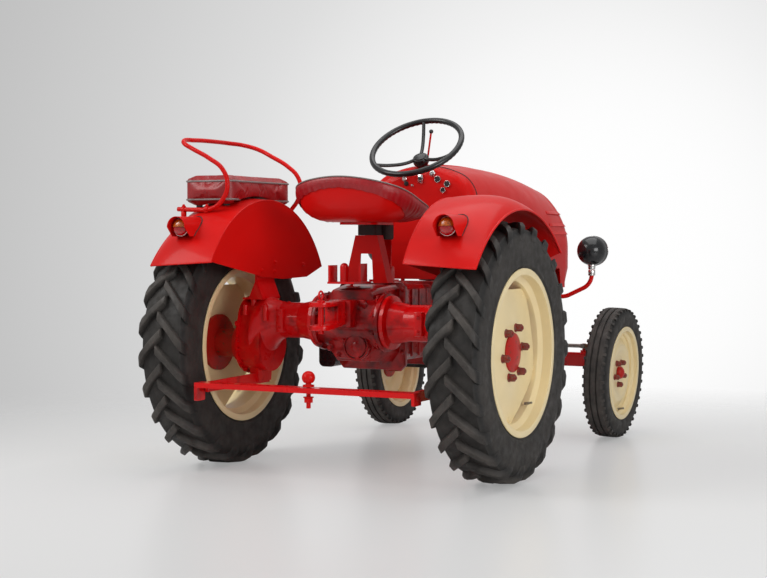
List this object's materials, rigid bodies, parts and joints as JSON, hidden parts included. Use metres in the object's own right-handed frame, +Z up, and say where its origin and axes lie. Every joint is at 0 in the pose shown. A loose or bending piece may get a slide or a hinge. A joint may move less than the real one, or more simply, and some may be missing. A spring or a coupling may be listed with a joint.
{
  "type": "vintage farm tractor",
  "caption": "Compact farm tractor with open seat, arched fenders, padded fender seat with hand rail, tail lamps, steered front axle and rear cross drawbar.",
  "frame": {"origin": "on the ground under the middle of the machine", "axes": "+X forward, +Y to the left of the driver, +Z up"},
  "size_m": [2.5095, 1.462, 1.4799],
  "materials": {
    "tyre_rubber": "worn black rubber",
    "wheel_cream": "cream enamel with rust at the studs",
    "hub_red": "oxide red paint, rubbed",
    "body_red": "bright red enamel, glossy",
    "engine_iron": "dark grey cast iron",
    "bare_steel": "dull bare steel",
    "wheel_black": "black grip",
    "vinyl_red": "red imitation leather",
    "black_enamel": "black enamel",
    "buffer_rubber": "black rubber",
    "dial_black": "black dials with bright bezels",
    "lamp_glass": "clear ribbed glass",
    "tail_lens": "amber over red lens"
  },
  "bodies": {
    "chassis": {"axle_tubes": "body_red", "ball_hitch": "bare_steel", "dash_cowl": "body_red", "drawbar": "body_red", "drop_cases": "body_red", "engine": "engine_iron", "fan_case": "body_red", "fender_brackets": "body_red", "fender_cushion": "vinyl_red", "fender_left": "body_red", "fender_right": "body_red", "footplates": "bare_steel", "front_beam": "body_red", "front_casting": "body_red", "gearbox": "body_red", "hand_rail": "body_red", "head_lamp_lenses": "lamp_glass", "head_lamps": "black_enamel", "hitch_clevis": "body_red", "hitch_pin": "bare_steel", "instruments": "dial_black", "lamp_stalks": "body_red", "lever_bracket": "body_red", "pedals": "bare_steel", "seat_arm": "bare_steel", "seat_buffer": "buffer_rubber", "seat_cover": "vinyl_red", "seat_pan": "body_red", "seat_tower": "body_red", "silencer": "black_enamel", "steering_column": "body_red", "tail_lamp_hoods": "body_red", "tail_lamps": "tail_lens", "throttle_lever": "bare_steel"},
    "rear_wheel_left": {"rear_tyre_left": "tyre_rubber", "rear_rim_left": "wheel_cream", "rear_hub_left": "hub_red"},
    "rear_wheel_right": {"rear_tyre_right": "tyre_rubber", "rear_rim_right": "wheel_cream", "rear_hub_right": "hub_red"},
    "front_wheel_left": {"front_tyre_left": "tyre_rubber", "front_rim_left": "wheel_cream", "front_hub_left": "hub_red"},
    "front_wheel_right": {"front_tyre_right": "tyre_rubber", "front_rim_right": "wheel_cream", "front_hub_right": "hub_red"},
    "knuckle_left_body": {"knuckle_left": "body_red"},
    "knuckle_right_body": {"knuckle_right": "body_red"},
    "tie_rod_body": {"tie_rod": "bare_steel"},
    "drag_link_body": {"drag_link": "bare_steel"},
    "drop_arm_body": {"drop_arm": "body_red"},
    "steering_wheel_body": {"steering_wheel": "wheel_black"},
    "bonnet_body": {"bonnet": "body_red"}
  },
  "joints": [
    {"name": "rear_axle_left", "type": "hinge", "parent": "chassis", "child": "rear_wheel_left", "pos_m": [-0.75, 0.625, 0.505], "axis": [0, 1, 0], "continuous": true},
    {"name": "rear_axle_right", "type": "hinge", "parent": "chassis", "child": "rear_wheel_right", "pos_m": [-0.75, -0.625, 0.505], "axis": [0, 1, 0], "continuous": true},
    {"name": "steer_left", "type": "hinge", "parent": "chassis", "child": "knuckle_left_body", "pos_m": [0.75, 0.478, 0.364], "axis": [0, 0, 1], "range_deg": [-30, 30]},
    {"name": "steer_right", "type": "hinge", "parent": "chassis", "child": "knuckle_right_body", "pos_m": [0.75, -0.478, 0.364], "axis": [0, 0, 1], "range_deg": [-30, 30]},
    {"name": "tie_rod_left_end", "type": "hinge", "parent": "knuckle_left_body", "child": "tie_rod_body", "pos_m": [0.645, 0.478, 0.436], "axis": [0, 0, 1], "range_deg": [-30, 30]},
    {"name": "drag_link_front_end", "type": "hinge", "parent": "knuckle_left_body", "child": "drag_link_body", "pos_m": [0.75, 0.373, 0.5], "axis": [0, 0, 1], "range_deg": [-30, 30]},
    {"name": "drop_arm_pivot", "type": "hinge", "parent": "chassis", "child": "drop_arm_body", "pos_m": [0.02, 0.343, 0.62], "axis": [0, 1, 0], "range_deg": [-26.1, 26.1]},
    {"name": "steering_wheel_turn", "type": "hinge", "parent": "chassis", "child": "steering_wheel_body", "pos_m": [-0.189, 0, 1.3415], "axis": [-0.6191, 0, 0.7853], "range_deg": [-420, 420]},
    {"name": "front_axle_left", "type": "hinge", "parent": "knuckle_left_body", "child": "front_wheel_left", "pos_m": [0.75, 0.59, 0.30828], "axis": [0, 0.9994, -0.0349], "continuous": true},
    {"name": "front_axle_right", "type": "hinge", "parent": "knuckle_right_body", "child": "front_wheel_right", "pos_m": [0.75, -0.59, 0.30828], "axis": [0, 0.9994, 0.0349], "continuous": true},
    {"name": "bonnet_hinge", "type": "hinge", "parent": "chassis", "child": "bonnet_body", "pos_m": [1.18, 0, 0.7], "axis": [0, 1, 0], "range_deg": [0, 70]}
  ],
  "couplings": [
    {"joint": "steer_right", "follows": "steer_left", "ratio": 1},
    {"joint": "tie_rod_left_end", "follows": "steer_left", "ratio": -1},
    {"joint": "drag_link_front_end", "follows": "steer_left", "ratio": -1},
    {"joint": "drop_arm_pivot", "follows": "steer_left", "ratio": -0.865},
    {"joint": "steering_wheel_turn", "follows": "steer_left", "ratio": 14}
  ]
}
